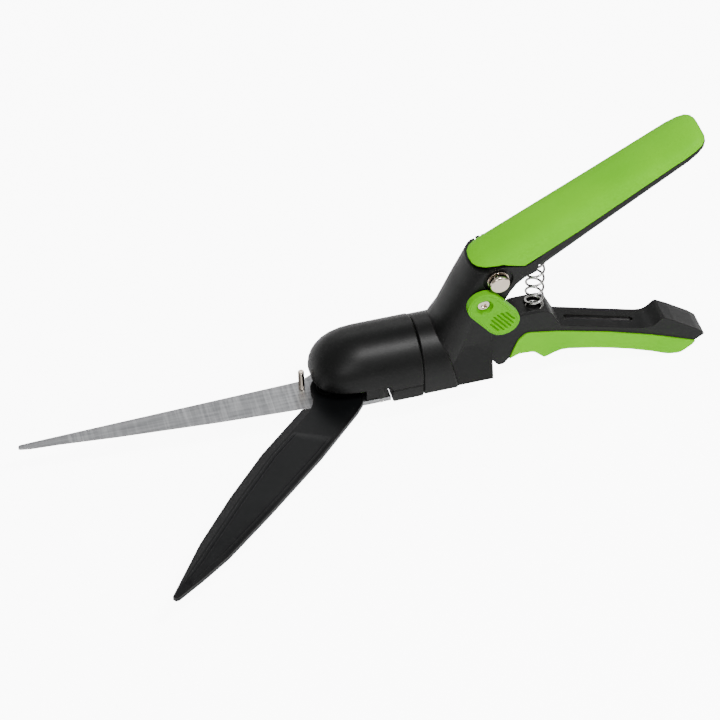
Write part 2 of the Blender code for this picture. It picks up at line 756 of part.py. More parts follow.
def cam_slot():
    """Slot outline around the spiral that the drive pin follows."""
    steps = 12
    play = PIN_R + GAP
    px, py, _ = BLADE_PIVOT
    centre = []
    for i in range(steps + 1):
        angle = BLADE_SWING * i / steps
        radius = cam_radius(angle)
        centre.append(Vector((px + radius * math.cos(angle), py + radius * math.sin(angle))))
    outer, inner = [], []
    for i, point in enumerate(centre):
        ahead = centre[min(i + 1, steps)] - centre[max(i - 1, 0)]
        side = Vector((ahead.y, -ahead.x)).normalized() * play
        outer.append(tuple(point + side))
        inner.append(tuple(point - side))
    first = round_end(centre[0], Vector(inner[0]) - centre[0], play)
    last = round_end(centre[-1], Vector(outer[-1]) - centre[-1], play)
    return outer + last + inner[::-1] + first


def round_end(centre, start, radius):
    points = []
    for step in range(1, 6):
        turn = Matrix.Rotation(math.radians(step * 30.0), 2)
        points.append(tuple(centre + turn @ start.normalized() * radius))
    return points


def upper_blade_outline():
    px, py, _ = BLADE_PIVOT
    edge = [(-55.0, -14.4), (-60.2, -14.2), (-86.0, -37.6), (-107.0, -60.5), (-126.8, -84.5),
            (-145.5, -111.7), (-145.8, -113.5), (-144.6, -114.9), (-142.9, -114.7)]
    back = [(-129.9, -106.6), (-115.9, -97.1), (-90.3, -75.7), (-59.0, -48.2), (-35.0, -24.6)]
    tail = [(-31.2, -20.0), (-29.6, -10.5)]
    for i in range(9):
        angle = math.radians(-6.0 + 60.0 * i / 8)
        radius = cam_radius(max(angle, 0.0)) + 4.2
        tail.append((px + radius * math.cos(angle), py + radius * math.sin(angle)))
    tang = []
    for degrees in (92.0, 115.0, 138.0, 161.0, 184.0, 205.0):
        angle = math.radians(degrees)
        tang.append((px + 8.6 * math.cos(angle), py + 8.6 * math.sin(angle)))
    return edge + back + tail + tang


def make_upper_blade():
    outline = upper_blade_outline()
    depth = {1: 5.6, 2: 5.6, 3: 5.6, 4: 5.0, 5: 1.4, 6: 0.3}
    ground = inset_points(outline, depth.keys(), depth, (0.62, -0.62))
    mesh = ground_blade(outline, ground, UPPER_BOTTOM + 0.4, UPPER_BOTTOM, UPPER_TOP)
    blade = add_piece("upper_blade", mesh, "blade", BLACK, 0.45, 0.6)
    x, y, _ = BLADE_PIVOT
    cut(blade, "upper_pivot_hole", shaft((x, y, -14), (x, y, -4), BOLT_R + GAP))
    cut(blade, "cam_slot", plate(cam_slot(), -14.0, -4.0))


def make_blade_bolt():
    x, y, _ = BLADE_PIVOT
    bolt = [(0.0, -1.9), (BOLT_R, -1.9), (BOLT_R, -11.0), (5.1, -11.0), (5.1, SOLE_Z),
            (0.0, SOLE_Z)]
    add_piece("blade_bolt", turned(bolt, (x, y, 0), (0, 0, 1)), "head", STEEL, 0.3, 1.0)
    inner = BOLT_R + 0.25
    washer = [(5.6, -5.6), (5.6, -6.4), (inner, -6.4), (inner, -5.6)]
    add_piece("blade_washer", turned(washer, (x, y, 0), (0, 0, 1)), "head", STEEL, 0.3, 1.0)
    hexagon = shaft((x, y, -5.3), (x, y, -2.4), 5.2, 6)
    nut = add_piece("blade_nut", hexagon, "head", STEEL, 0.3, 1.0)
    cut(nut, "nut_bore", shaft((x, y, -8), (x, y, 0), inner))
    pin = [(0.0, 2.2), (1.2, 2.2), (1.55, 1.9), (1.55, -9.2), (1.1, -9.2), (1.1, -11.9),
           (0.0, -11.9)]
    mesh = turned(pin, (-56.7, 0.5, 0), (0, 0, 1), 20)
    add_piece("stop_pin", mesh, "head", NICKEL, 0.25, 1.0)


# ---------------------------------------------------------------- trigger

# Where black frame and green grip meet, from the toe back to the end, in X and Z.
GRIP_SEAM = [(47.3, -10.2), (48.8, -5.5), (51.4, 1.2, 4.0), (55.6, 5.2, 4.0),
             (73.4, 1.5, 60.0), (110.8, -9.4, 200.0), (146.0, -24.6)]


def toe_pin_place():
    """The pin swings equally far to each side of straight down."""
    half = TRIGGER_SWING / 2
    x = TRIGGER_AXIS[0] - TOE_ARM * math.sin(half)
    z = TRIGGER_AXIS[2] - TOE_ARM * math.cos(half)
    return x, z


def trigger_profile():
    seam = [(corner[0], corner[1] + GAP, *corner[2:]) for corner in GRIP_SEAM]
    top = [(151.2, -21.0, 1.0), (146.4, -16.6, 8.0), (134.0, -7.8, 8.0), (127.4, -3.7, 2.0),
           (122.0, -9.0, 6.0), (116.5, -8.0, 12.0), (94.3, -1.1, 200.0), (73.2, 5.5, 1.0),
           (68.4, 15.3, 4.0), (62.0, 18.3, 6.0), (51.9, 18.3, 6.0), (45.0, 13.6, 5.0),
           (38.6, 13.6, 5.0), (36.9, 22.0), (42.6, 36.0, 20.0), (45.5, 46.0)]
    x, _, z = TRIGGER_AXIS
    boss = [(x + 7.2, z + 7.2, 7.2), (x - 7.2, z + 7.2, 7.2), (x - 7.2, z - 3.0),
            (26.4, 12.0), (26.4, -5.0, 3.0)]
    toe = [(31.0, -7.0), (37.4, -7.8, 3.0), (41.5, -13.4, 2.0), (44.4, -13.4, 2.0)]
    return rounded(boss + toe + seam + top)


def seam_line(x):
    """Height of the frame's underside along the straight of the handle."""
    slope = (-9.4 - 1.5) / (110.8 - 73.4)
    return 1.5 + slope * (x - 73.4)


def make_lower_handle():
    width = TRIGGER_HALF_WIDTH
    frame = add_piece("lower_handle", side_plate(trigger_profile(), -width, width),
                      "trigger", BLACK, 0.5)
    bevel(frame, 0.7, 2)
    fork = FORK_HALF_WIDTH
    cut(frame, "toe_fork", box((15.0, -fork, -9.0), (41.4, fork, 9.6)))
    x, _, z = TRIGGER_AXIS
    cut(frame, "trigger_bore", shaft((x, -9, z), (x, 9, z), RIVET_R + GAP))
    cut(frame, "spring_seat", shaft((SPRING_X, 0, SPRING_LOW - 0.4), (SPRING_X, 0, 25), 5.2))
    slot = rounded([(77.0, -1.25, 1.2), (114.0, -1.25, 1.2), (114.0, 1.25, 1.2),
                    (77.0, 1.25, 1.2)], 45.0)
    cut(frame, "handle_slot", plate(slot, -14.0, 10.0))
    cut(frame, "strip_room", side_plate(strip_profile(GAP), -3.7, 3.7))
    for side in (-1, 1):
        name = "block_slope" + ("_near" if side < 0 else "_far")
        cut(frame, name, block_slope(side))
    x, z = toe_pin_place()
    cut(frame, "toe_pin_bore", shaft((x, -9, z), (x, 9, z), TOE_PIN_R + 0.25, 20))


def block_slope(side):
    """A wedge that slopes the spring block's top down towards its sides."""
    rings = []
    for x in (43.0, 73.0):
        rings.append([(x, side * 5.4, 18.9), (x, side * 9.0, 15.0), (x, side * 9.0, 20.0)])
    return loft(rings)


def strip_profile(grow):
    """Side view of the steel strip that shows in the handle's slot."""
    start, end = 75.5 - grow, 113.0 + grow
    low = 0.0 if grow == 0.0 else -3.0
    return [(start, seam_line(start) + GAP + low), (end, seam_line(end) + GAP + low),
            (end, seam_line(end) + 1.9 + grow), (start, seam_line(start) + 1.9 + grow)]


def make_lower_grip():
    bottom = [(144.6, -26.6, 3.0), (138.3, -30.9, 5.0), (131.0, -29.6, 10.0),
              (116.9, -22.7, 100.0), (95.1, -15.4, 100.0), (74.2, -10.4, 12.0),
              (68.2, -13.0, 1.0), (65.3, -14.0, 1.5), (62.2, -10.9, 1.0), (59.8, -8.5, 4.0),
              (52.1, -8.0, 3.0)]
    outline = rounded(GRIP_SEAM + bottom)
    grip = add_piece("lower_grip", side_plate(outline, -GRIP_HALF_WIDTH, GRIP_HALF_WIDTH),
                     "trigger", GREEN, 0.55)
    bevel(grip, 1.2, 2, 50.0)


def make_trigger_parts():
    strip = side_plate(strip_profile(0.0), -3.4, 3.4)
    add_piece("handle_strip", strip, "trigger", STEEL, 0.35, 1.0)
    x, z = toe_pin_place()
    pin = shaft((x, -6.7, z), (x, 6.7, z), TOE_PIN_R, 16)
    add_piece("toe_pin", pin, "trigger", STEEL, 0.3, 1.0)


def coil(start, end, radius, turns, per_turn):
    """Helix points with flat-lying end turns."""
    start = Vector(start)
    run = Vector(end) - start
    turn = run.to_track_quat("Z", "Y").to_matrix()
    points = []
    total = turns * per_turn
    for i in range(total + 1):
        angle = 2 * math.pi * i / per_turn
        share = i / total
        flat = 0.5 / turns
        rise = min(max((share - flat) / (1 - 2 * flat), 0.0), 1.0)
        rise = 0.1 * share + 0.9 * rise
        local = Vector((radius * math.cos(angle), radius * math.sin(angle), rise * run.length))
        points.append(start + turn @ local)
    return points


def wire(points, radius):
    curve = bpy.data.curves.new("wire", "CURVE")
    curve.dimensions = "3D"
    curve.bevel_depth = radius
    curve.bevel_resolution = 1
    curve.use_fill_caps = True
    spline = curve.splines.new("POLY")
    spline.points.add(len(points) - 1)
    for target, point in zip(spline.points, points):
        target.co = (*point, 1.0)
    item = bpy.data.objects.new("wire", curve)
    CUTTERS.objects.link(item)
    mesh = evaluated_mesh(item)
    bpy.data.objects.remove(item, do_unlink=True)
    shape = bmesh.new()
    shape.from_mesh(mesh)
    bmesh.ops.remove_doubles(shape, verts=shape.verts, dist=0.001)
    return finished(shape, "wire")


def make_return_spring():
    low = (SPRING_X, 0, SPRING_LOW + SPRING_WIRE)
    high = (SPRING_X, 0, SPRING_HIGH - SPRING_WIRE)
    points = coil(low, high, SPRING_R, SPRING_TURNS, 12)
    add_piece("return_spring", wire(points, SPRING_WIRE), "trigger", STEEL, 0.2, 1.0)


make_handle_body()
make_upper_grip()
make_pivot()
make_lock()
make_swivel()
make_detent()
make_yoke()
make_pull_rod()
make_slider()
make_housing()
make_cover()
make_screws()
make_lower_blade()
make_upper_blade()
make_blade_bolt()
make_lower_handle()
make_lower_grip()
make_trigger_parts()
make_return_spring()
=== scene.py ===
"""Looks for the grass shears: fine meshes, finishes, floor, lights and camera.

Lengths are millimetres in the axis frame unless a name says otherwise: the head turns about
the X axis, the blades point to -X and the side with the lock lever faces -Y.
"""

import json
import math

import bmesh
import bpy
from mathutils import Matrix, Vector

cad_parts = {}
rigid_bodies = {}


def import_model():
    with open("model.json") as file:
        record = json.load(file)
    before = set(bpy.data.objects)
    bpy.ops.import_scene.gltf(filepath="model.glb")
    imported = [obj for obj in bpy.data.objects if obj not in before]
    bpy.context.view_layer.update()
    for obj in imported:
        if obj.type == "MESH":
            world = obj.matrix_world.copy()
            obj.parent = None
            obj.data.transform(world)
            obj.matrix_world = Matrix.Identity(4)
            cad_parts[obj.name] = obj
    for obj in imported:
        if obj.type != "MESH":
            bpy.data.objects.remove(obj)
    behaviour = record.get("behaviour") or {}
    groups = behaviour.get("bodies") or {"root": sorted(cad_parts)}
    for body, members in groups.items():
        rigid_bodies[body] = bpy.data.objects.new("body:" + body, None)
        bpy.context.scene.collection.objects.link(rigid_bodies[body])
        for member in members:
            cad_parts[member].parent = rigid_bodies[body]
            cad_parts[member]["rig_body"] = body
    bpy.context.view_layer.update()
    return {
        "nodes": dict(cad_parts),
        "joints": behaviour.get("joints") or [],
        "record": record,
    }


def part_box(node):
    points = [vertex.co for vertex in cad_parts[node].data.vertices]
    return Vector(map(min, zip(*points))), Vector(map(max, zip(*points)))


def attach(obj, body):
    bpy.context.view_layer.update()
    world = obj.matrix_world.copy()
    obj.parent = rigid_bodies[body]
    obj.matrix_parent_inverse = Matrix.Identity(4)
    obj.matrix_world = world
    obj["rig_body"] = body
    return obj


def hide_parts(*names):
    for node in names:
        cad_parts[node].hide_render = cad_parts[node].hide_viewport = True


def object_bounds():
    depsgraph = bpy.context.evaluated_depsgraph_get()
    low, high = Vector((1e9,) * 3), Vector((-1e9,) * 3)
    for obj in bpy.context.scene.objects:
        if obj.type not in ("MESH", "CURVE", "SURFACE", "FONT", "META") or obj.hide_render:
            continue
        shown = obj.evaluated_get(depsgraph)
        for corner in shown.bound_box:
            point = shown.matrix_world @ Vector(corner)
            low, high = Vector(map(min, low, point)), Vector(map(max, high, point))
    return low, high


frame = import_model()

MM = 0.001
FULL_TURN = 2 * math.pi
JOINTS = {joint["name"]: joint for joint in frame["joints"]}
AXIS_ORIGIN = Vector(JOINTS["head_swivel"]["pos_m"])
TOWARDS_LEVER = (0, -1, 0)
SLOT_OF = {entry["node"]: entry["material_slot"] for entry in frame["record"]["subparts"]}
BODY_OF = {name: node["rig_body"] for name, node in frame["nodes"].items()}


# ---------------------------------------------------------------- finishes

class Look:
    """A material whose colour, roughness and relief come from noise on object coordinates."""

    def __init__(self, name, metallic=0.0):
        self.material = bpy.data.materials.new(name)
        self.material.use_nodes = True
        tree = self.material.node_tree
        self.nodes = tree.nodes
        self.links = tree.links
        self.shader = self.nodes["Principled BSDF"]
        self.shader.inputs["Metallic"].default_value = metallic
        self.place = self.nodes.new("ShaderNodeTexCoord").outputs["Object"]
        self.normal = None

    def mapped(self, stretch, turn):
        """Object coordinates scaled by stretch and turned by degrees about each axis."""
        mapping = self.nodes.new("ShaderNodeMapping")
        mapping.inputs["Scale"].default_value = stretch
        mapping.inputs["Rotation"].default_value = [math.radians(angle) for angle in turn]
        self.links.new(self.place, mapping.inputs["Vector"])
        return mapping.outputs["Vector"]

    def noise(self, scale, detail=3.0, stretch=None, turn=(0, 0, 0), distortion=0.0):
        texture = self.nodes.new("ShaderNodeTexNoise")
        texture.inputs["Scale"].default_value = scale
        texture.inputs["Detail"].default_value = detail
        texture.inputs["Distortion"].default_value = distortion
        source = self.mapped(stretch, turn) if stretch else self.place
        self.links.new(source, texture.inputs["Vector"])
        return texture.outputs["Fac"]

    def ranged(self, value, low, high, to_low, to_high):
        """Maps low..high to to_low..to_high and clamps what lies outside."""
        node = self.nodes.new("ShaderNodeMapRange")
        node.inputs["From Min"].default_value = low
        node.inputs["From Max"].default_value = high
        node.inputs["To Min"].default_value = to_low
        node.inputs["To Max"].default_value = to_high
        self.links.new(value, node.inputs["Value"])
        return node.outputs["Result"]

    def maths(self, operation, first, second):
        node = self.nodes.new("ShaderNodeMath")
        node.operation = operation
        node.use_clamp = True
        self.links.new(first, node.inputs[0])
        self.links.new(second, node.inputs[1])
        return node.outputs["Value"]

    def colour(self, factor, first, second):
        mix = self.nodes.new("ShaderNodeMix")
        mix.data_type = "RGBA"
        colours = [socket for socket in mix.inputs if socket.type == "RGBA"]
        colours[0].default_value = (*first, 1.0)
        colours[1].default_value = (*second, 1.0)
        self.links.new(factor, mix.inputs["Factor"])
        result = [socket for socket in mix.outputs if socket.type == "RGBA"]
        self.links.new(result[0], self.shader.inputs["Base Color"])

    def roughness(self, value):
        self.links.new(value, self.shader.inputs["Roughness"])

    def shine(self, level):
        """The strength of the reflection of a surface that isn't metal."""
        self.shader.inputs["Specular IOR Level"].default_value = level

    def relief(self, height, depth, strength=1.0):
        """Adds a layer of bumps that are depth metres high."""
        bump = self.nodes.new("ShaderNodeBump")
        bump.inputs["Strength"].default_value = strength
        bump.inputs["Distance"].default_value = depth
        self.links.new(height, bump.inputs["Height"])
        if self.normal:
            self.links.new(self.normal, bump.inputs["Normal"])
        self.normal = bump.outputs["Normal"]
        self.links.new(self.normal, self.shader.inputs["Normal"])

    def soft_edges(self, radius):
        """Rounds the light on edges by a small radius, in metres."""
        node = self.nodes.new("ShaderNodeBevel")
        node.samples = 6
        node.inputs["Radius"].default_value = radius
        self.normal = node.outputs["Normal"]


def black_plastic():
    look = Look("satin_black_plastic")
    look.soft_edges(0.35 * MM)
    patches = look.noise(scale=42.0, detail=4.0)
    dust = look.noise(scale=900.0, detail=2.0)
    grain = look.noise(scale=3300.0, detail=2.0)
    tone = look.ranged(look.maths("MULTIPLY", patches, dust), 0.15, 0.4, 0.0, 1.0)
    look.colour(tone, (0.003, 0.003, 0.0029), (0.0048, 0.0047, 0.0045))
    rub = look.noise(scale=26.0, detail=5.0, stretch=(1.0, 1.0, 2.4), turn=(0, 24, 0),
                     distortion=0.6)
    base = look.ranged(rub, 0.35, 0.65, 0.36, 0.44)
    fine = look.ranged(grain, 0.3, 0.7, 0.94, 1.06)
    look.roughness(look.maths("MULTIPLY", base, fine))
    look.shine(0.2)
    look.relief(look.noise(scale=60.0, detail=2.0), 0.05 * MM, strength=0.35)
    look.relief(grain, 0.05 * MM, strength=0.8)
    return look.material


def green_rubber(name, first, second, rough):
    look = Look(name)
    look.soft_edges(0.4 * MM)
    patches = look.noise(scale=30.0)
    grain = look.noise(scale=2600.0, detail=2.0)
    look.colour(look.ranged(patches, 0.35, 0.65, 0.0, 1.0), first, second)
    smear = look.noise(scale=70.0, detail=4.0, stretch=(0.5, 1.0, 1.0), turn=(0, -32, 0),
                       distortion=0.4)
    base = look.ranged(smear, 0.3, 0.7, rough - 0.05, rough + 0.06)
    fine = look.ranged(grain, 0.3, 0.7, 0.95, 1.05)
    look.roughness(look.maths("MULTIPLY", base, fine))
    look.shine(0.08)
    look.relief(look.noise(scale=55.0, detail=2.0), 0.06 * MM, strength=0.3)
    look.relief(grain, 0.03 * MM, strength=0.4)
    return look.material


def plated(name, first, second, rough, streak=(1.0, 1.0, 1.0)):
    look = Look(name, metallic=1.0)
    look.soft_edges(0.2 * MM)
    cloud = look.noise(scale=180.0, detail=4.0)
    fine = look.noise(scale=1800.0, stretch=streak)
    look.colour(look.ranged(cloud, 0.3, 0.7, 0.0, 1.0), first, second)
    base = look.ranged(cloud, 0.3, 0.7, rough * 0.85, rough * 1.2)
    look.roughness(look.maths("MULTIPLY", base, look.ranged(fine, 0.3, 0.7, 0.85, 1.15)))
    look.relief(fine, 0.012 * MM, strength=0.4)
    return look.material


def brushed_steel():
    """Grey blade steel: fine brushing along it, crossed by slanted and upright scratches."""
    look = Look("cross_brushed_steel", metallic=1.0)
    look.soft_edges(0.2 * MM)
    along = look.noise(scale=700.0, detail=5.0, stretch=(0.06, 1.0, 1.0), turn=(0, 0, 4))
    across = look.noise(scale=620.0, detail=4.0, stretch=(1.0, 0.05, 1.0), turn=(0, 0, -8))
    slanted = look.noise(scale=520.0, detail=4.0, stretch=(1.0, 0.07, 1.0), turn=(0, 0, 38))
    cloud = look.noise(scale=45.0, detail=4.0)
    lines = look.maths("MULTIPLY", look.ranged(across, 0.42, 0.62, 0.0, 1.0),
                       look.ranged(cloud, 0.42, 0.6, 0.1, 1.0))
    marks = look.maths("ADD", look.ranged(lines, 0.0, 1.0, 0.0, 0.6),
                       look.ranged(slanted, 0.56, 0.72, 0.0, 0.5))
    tone = look.maths("ADD", look.ranged(along, 0.3, 0.7, 0.0, 0.55), marks)
    look.colour(tone, (0.17, 0.173, 0.18), (0.44, 0.445, 0.455))
    look.roughness(look.ranged(tone, 0.0, 1.0, 0.34, 0.5))
    look.relief(along, 0.02 * MM, strength=0.5)
    look.relief(marks, 0.025 * MM, strength=0.5)
    return look.material


def coated_steel():
    """Black coating with fine speckle and a few worn scuffs across the blade."""
    look = Look("black_coated_steel")
    look.soft_edges(0.25 * MM)
    speckle = look.noise(scale=2400.0)
    cloud = look.noise(scale=38.0, detail=4.0)
    scuffs = look.noise(scale=420.0, detail=4.0, stretch=(0.08, 1.0, 1.0), turn=(0, 0, 47),
                        distortion=0.2)
    worn = look.ranged(scuffs, 0.66, 0.76, 0.0, 0.5)
    tone = look.maths("ADD", look.ranged(cloud, 0.35, 0.65, 0.0, 0.5), worn)
    look.colour(tone, (0.003, 0.0031, 0.0034), (0.0075, 0.0077, 0.0082))
    base = look.ranged(cloud, 0.3, 0.7, 0.3, 0.38)
    look.roughness(look.maths("MULTIPLY", base, look.ranged(speckle, 0.3, 0.7, 0.92, 1.1)))
    look.shine(0.17)
    look.relief(speckle, 0.02 * MM, strength=0.4)
    look.relief(scuffs, 0.02 * MM, strength=0.25)
    return look.material


LOOKS = {
    "black_plastic": black_plastic(),
    "green_rubber": green_rubber(
        "soft_green_rubber", first=(0.125, 0.5, 0.0), second=(0.15, 0.55, 0.0), rough=0.55),
    "green_plastic": green_rubber(
        "green_lever_plastic", first=(0.1, 0.42, 0.0), second=(0.12, 0.47, 0.0), rough=0.4),
    "nickel": plated(
        "nickel_plate", first=(0.62, 0.53, 0.43), second=(0.74, 0.65, 0.55), rough=0.13),
    "steel": plated(
        "plain_steel", first=(0.5, 0.5, 0.5), second=(0.64, 0.635, 0.62), rough=0.36,
        streak=(1.0, 0.2, 1.0)),
    "spring_steel": plated(
        "spring_wire", first=(0.4, 0.395, 0.38), second=(0.52, 0.51, 0.49), rough=0.2),
    "blade_steel": brushed_steel(),
    "coated_steel": coated_steel(),
}


# ---------------------------------------------------------------- mesh helpers

JOIN_REACH_M = 0.000002
FLAT_ENOUGH = math.radians(0.4)


def cad_copy(node):
    """The CAD node's mesh with its split corners joined and flat faces merged."""
    shape = bmesh.new()
    shape.from_mesh(frame["nodes"][node].data)
    bmesh.ops.remove_doubles(shape, verts=shape.verts, dist=JOIN_REACH_M)
    bmesh.ops.dissolve_limit(
        shape, angle_limit=FLAT_ENOUGH, verts=shape.verts, edges=shape.edges,
        delimit={"NORMAL"})
    return shape


def middle_of(node):
    """The middle of a node's box, and the box's corners, in metres."""
    low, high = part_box(node)
    return (low + high) / 2, low, high


def link(name, shape):
    """Turns a mesh under construction into an object of the scene."""
    mesh = bpy.data.meshes.new(name)
    shape.to_mesh(mesh)
    shape.free()
    item = bpy.data.objects.new(name, mesh)
    bpy.context.scene.collection.objects.link(item)
    return item


def smooth_faces(mesh, degrees):
    """Smooth light everywhere but on edges that turn by more than some degrees."""
    mesh.shade_smooth()
    mesh.set_sharp_from_angle(angle=math.radians(degrees))


def place_piece(node, shape, smooth, edge=0.0):
    """Puts a finished mesh in the scene in place of its CAD node; edge is a bevel's width."""
    bmesh.ops.recalc_face_normals(shape, faces=shape.faces)
    item = link(node + "_fine", shape)
    slot = SLOT_OF[node]
    item.data.materials.append(LOOKS[slot])
    smooth_faces(item.data, smooth)
    if edge > 0.0:
        bevel = item.modifiers.new("small_edges", "BEVEL")
        bevel.width = edge * MM
        bevel.segments = 2
        bevel.limit_method = "ANGLE"
        bevel.angle_limit = math.radians(smooth)
        bevel.harden_normals = True
    weighted = item.modifiers.new("even_light", "WEIGHTED_NORMAL")
    weighted.keep_sharp = True
    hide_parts(node)
    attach(item, BODY_OF[node])
    return item


def cut(item, cutter):
    """Takes a shape out of a finished piece."""
    bmesh.ops.recalc_face_normals(cutter, faces=cutter.faces)
    tool = link("cutter", cutter)
    step = item.modifiers.new("cut", "BOOLEAN")
    step.object = tool
    step.solver = "EXACT"
    bpy.context.view_layer.update()
    graph = bpy.context.evaluated_depsgraph_get()
    fixed = bpy.data.meshes.new_from_object(item.evaluated_get(graph))
    item.modifiers.remove(step)
    item.data = fixed
    bpy.data.objects.remove(tool)


def skin(shape, rings):
    """Faces between neighbouring rings that have the same number of corners."""
    size = len(rings[0])
    for first, second in zip(rings, rings[1:]):
        for k in range(size):
            j = (k + 1) % size
            shape.faces.new((first[k], first[j], second[j], second[k]))


def cap(shape, rings):
    """Flat faces on the first and the last ring."""
    shape.faces.new(rings[0])
    shape.faces.new(rings[-1])


def lathe(profile, start, direction, sides=64):
    """A turned solid; the profile is (radius, distance) in mm from start along direction."""
    shape = bmesh.new()
    turn = Vector(direction).to_track_quat("Z", "Y").to_matrix()
    rings = []
    for radius, along in profile:
        if radius == 0.0:
            rings.append([shape.verts.new(start + turn @ Vector((0, 0, along)) * MM)])
            continue
        ring = []
        for i in range(sides):
            angle = FULL_TURN * i / sides
            point = Vector((radius * math.cos(angle), radius * math.sin(angle), along))
            ring.append(shape.verts.new(start + turn @ point * MM))
        rings.append(ring)
    for first, second in zip(rings, rings[1:]):
        for i in range(sides):
            j = (i + 1) % sides
            corners = [first[i % len(first)], first[j % len(first)],
                       second[j % len(second)], second[i % len(second)]]
            unique = list(dict.fromkeys(corners))
            if len(unique) > 2:
                shape.faces.new(unique)
    return shape


def tube(points, radius, sides=14):
    """A round wire along points in metres, with flat ends."""
    shape = bmesh.new()
    rings = []
    last = len(points) - 1
    normal = None
    for i, point in enumerate(points):
        run = (points[min(i + 1, last)] - points[max(i - 1, 0)]).normalized()
        if normal is None:
            normal = run.orthogonal().normalized()
        normal = (normal - run * normal.dot(run)).normalized()
        side = run.cross(normal)
        ring = []
        for k in range(sides):
            angle = FULL_TURN * k / sides
            offset = normal * math.cos(angle) + side * math.sin(angle)
            ring.append(shape.verts.new(point + offset * radius))
        rings.append(ring)
    skin(shape, rings)
    cap(shape, rings)
    return shape


# ---------------------------------------------------------------- plastic shells and grips

SKIN_SMOOTH = 34.0
SKIN_EDGES = {
    "handle_body": 0.35, "upper_grip": 0.5, "lower_handle": 0.25, "lower_grip": 0.3,
    "head_housing": 0.3, "head_cover": 0.25, "handle_strip": 0.2, "lower_blade": 0.12,
    "pivot_washer_near": 0.12, "pivot_washer_far": 0.12, "blade_nut": 0.3,
    "tang_screw_near": 0.1, "tang_screw_far": 0.1, "cover_screw_near": 0.1,
    "cover_screw_far": 0.1, "rod_yoke": 0.2, "drive_slider": 0.15, "swivel_spigot": 0.15,
}


def build_skins():
    """Pieces that keep the CAD shape, with rounded edges and even light."""
    for node, edge in SKIN_EDGES.items():
        place_piece(node, cad_copy(node), SKIN_SMOOTH, edge)


# ---------------------------------------------------------------- lock lever and its screw

LEVER_SMOOTH = 40.0
GROOVES = 6
GROOVE_PITCH = 1.95
GROOVE_WIDTH = 1.25
GROOVE_DEPTH = 1.2
GROOVE_SIDES = 12
GROOVE_STATIONS = (-1.0, -0.93, -0.8, 0.0, 0.8, 0.93, 1.0)
GROOVE_END_SIZE = 0.15
GROOVE_END_MARGIN = 0.2
FIELD_MARGIN = 2.0
FIELD_SHIFT = 0.8
RIM_INSET = 1.15
RIM_SINK = 0.06
RIM_WIRE = 0.3
RIM_STEPS = 25


def lever_frame():
    """The lever's turning centre, its thumb end, the way to it, its face's Y and its radius."""
    pivot = Vector(JOINTS["lock_turn"]["pos_m"])
    low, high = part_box("lock_lever")
    reach = max(pivot.x - low.x, high.z - pivot.z)
    thumb = Vector((high.x - reach, pivot.y, low.z + reach))
    run = thumb - pivot
    run.y = 0.0
    return pivot, thumb, run.normalized(), low.y, reach


def groove(middle, run, half):
    """A long cutter with an oval section, centred on the lever's face."""
    shape = bmesh.new()
    rings = []
    side = Vector((-run.z, 0.0, run.x))
    for share in GROOVE_STATIONS:
        swell = math.sqrt(1.0 - abs(share) ** 8) * (1.0 - GROOVE_END_SIZE) + GROOVE_END_SIZE
        ring = []
        for k in range(GROOVE_SIDES):
            angle = FULL_TURN * k / GROOVE_SIDES
            offset = side * (math.cos(angle) * GROOVE_WIDTH / 2 * swell * MM)
            offset += Vector((0.0, math.sin(angle) * GROOVE_DEPTH * swell * MM, 0.0))
            ring.append(shape.verts.new(middle + run * (half * share) + offset))
        rings.append(ring)
    skin(shape, rings)
    cap(shape, rings)
    return shape


def lever_rim(pivot, thumb, run, face, reach):
    """A thin raised line just inside the lever's outline."""
    lean = math.atan2(run.z, run.x)
    radius = reach - RIM_INSET * MM
    rim = []
    for centre, start in ((pivot, 90.0), (thumb, -90.0)):
        for step in range(RIM_STEPS):
            angle = lean + math.radians(start + step * 180.0 / (RIM_STEPS - 1))
            rim.append(Vector((centre.x + radius * math.cos(angle), face + RIM_SINK * MM,
                               centre.z + radius * math.sin(angle))))
    rim.append(rim[0].copy())
    return tube(rim, RIM_WIRE * MM, sides=8)


def build_lock():
    """The lever with its thumb grooves and its rim."""
    pivot, thumb, run, face, reach = lever_frame()
    across = Vector((-run.z, 0.0, run.x))
    lever = place_piece("lock_lever", cad_copy("lock_lever"), LEVER_SMOOTH)
    field = reach - FIELD_MARGIN * MM
    for index in range(GROOVES):
        offset = (index - (GROOVES - 1) / 2) * GROOVE_PITCH * MM
        half = math.sqrt(field ** 2 - offset ** 2) - GROOVE_END_MARGIN * MM
        middle = thumb + across * offset - run * (FIELD_SHIFT * MM)
        middle.y = face
        cut(lever, groove(middle, run, half))
    rim = lever_rim(pivot, thumb, run, face, reach)
    rim.from_mesh(lever.data)
    rim.to_mesh(lever.data)
    rim.free()
    smooth_faces(lever.data, LEVER_SMOOTH)


SCREW_SINK = 0.55
SCREW_HEAD_R = 3.3
SCREW_SHANK_R = 1.8
SCREW_UNDERSIDE = 1.1
SCREW_DOME = 0.8
RECESS_ANGLES = (20.0, 110.0)
RECESS_SIZE = (4.6, 3.0, 1.15)
RECESS_TAPER = (0.45, 0.7)


